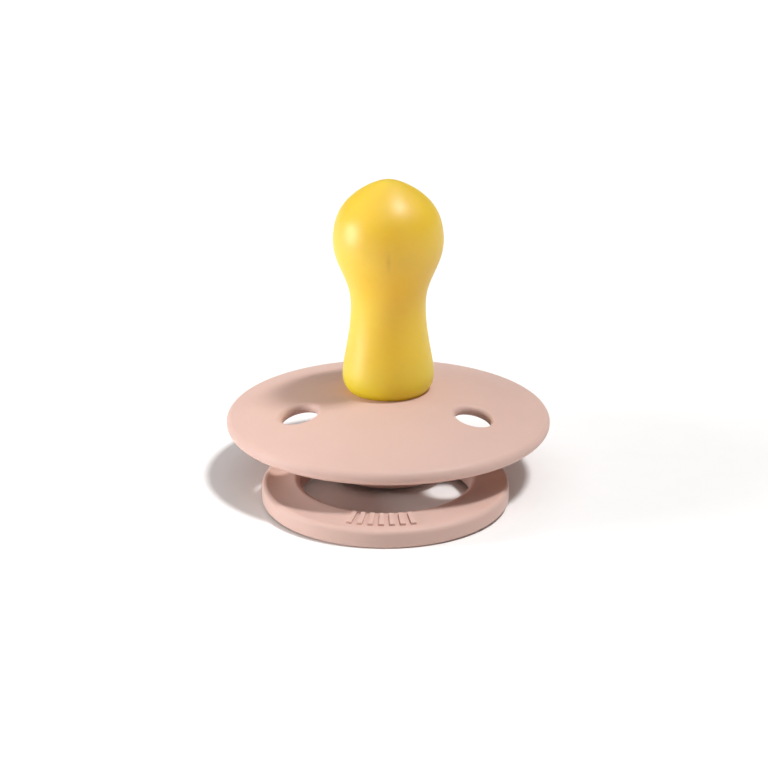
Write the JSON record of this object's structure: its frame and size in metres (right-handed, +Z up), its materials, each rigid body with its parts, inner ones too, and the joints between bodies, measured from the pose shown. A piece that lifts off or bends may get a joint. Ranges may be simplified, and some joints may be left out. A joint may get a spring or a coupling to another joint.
{
  "type": "pacifier",
  "caption": "Baby pacifier: round domed shield with vents, cherry-shaped soft teat, domed knob and a ring handle hinged on the knob.",
  "frame": {"origin": "centre of the flat on the knob's face, on which the pacifier stands", "axes": "+Z up the teat's axis, away from the knob; -Y towards the front of the folded ring; X along the ring's hinge"},
  "size_m": [0.043, 0.0471, 0.0412],
  "materials": {
    "pink_plastic": "satin matt moulded polypropylene, dusty pink",
    "pink_plastic_knob": "satin matt moulded polypropylene, dusty pink",
    "pink_plastic_ring": "satin matt moulded polypropylene, dusty pink",
    "inner_plastic": "plain moulded polypropylene",
    "latex": "translucent amber natural latex, satin"
  },
  "bodies": {
    "body": {"shield": "pink_plastic", "teat": "latex", "plug": "inner_plastic", "button": "pink_plastic_knob"},
    "ring": {"ring": "pink_plastic_ring"}
  },
  "joints": [
    {"name": "ring_hinge", "type": "hinge", "parent": "body", "child": "ring", "pos_m": [0, 0, 0.00258], "axis": [1, 0, 0], "range_deg": [-9, 184]}
  ]
}
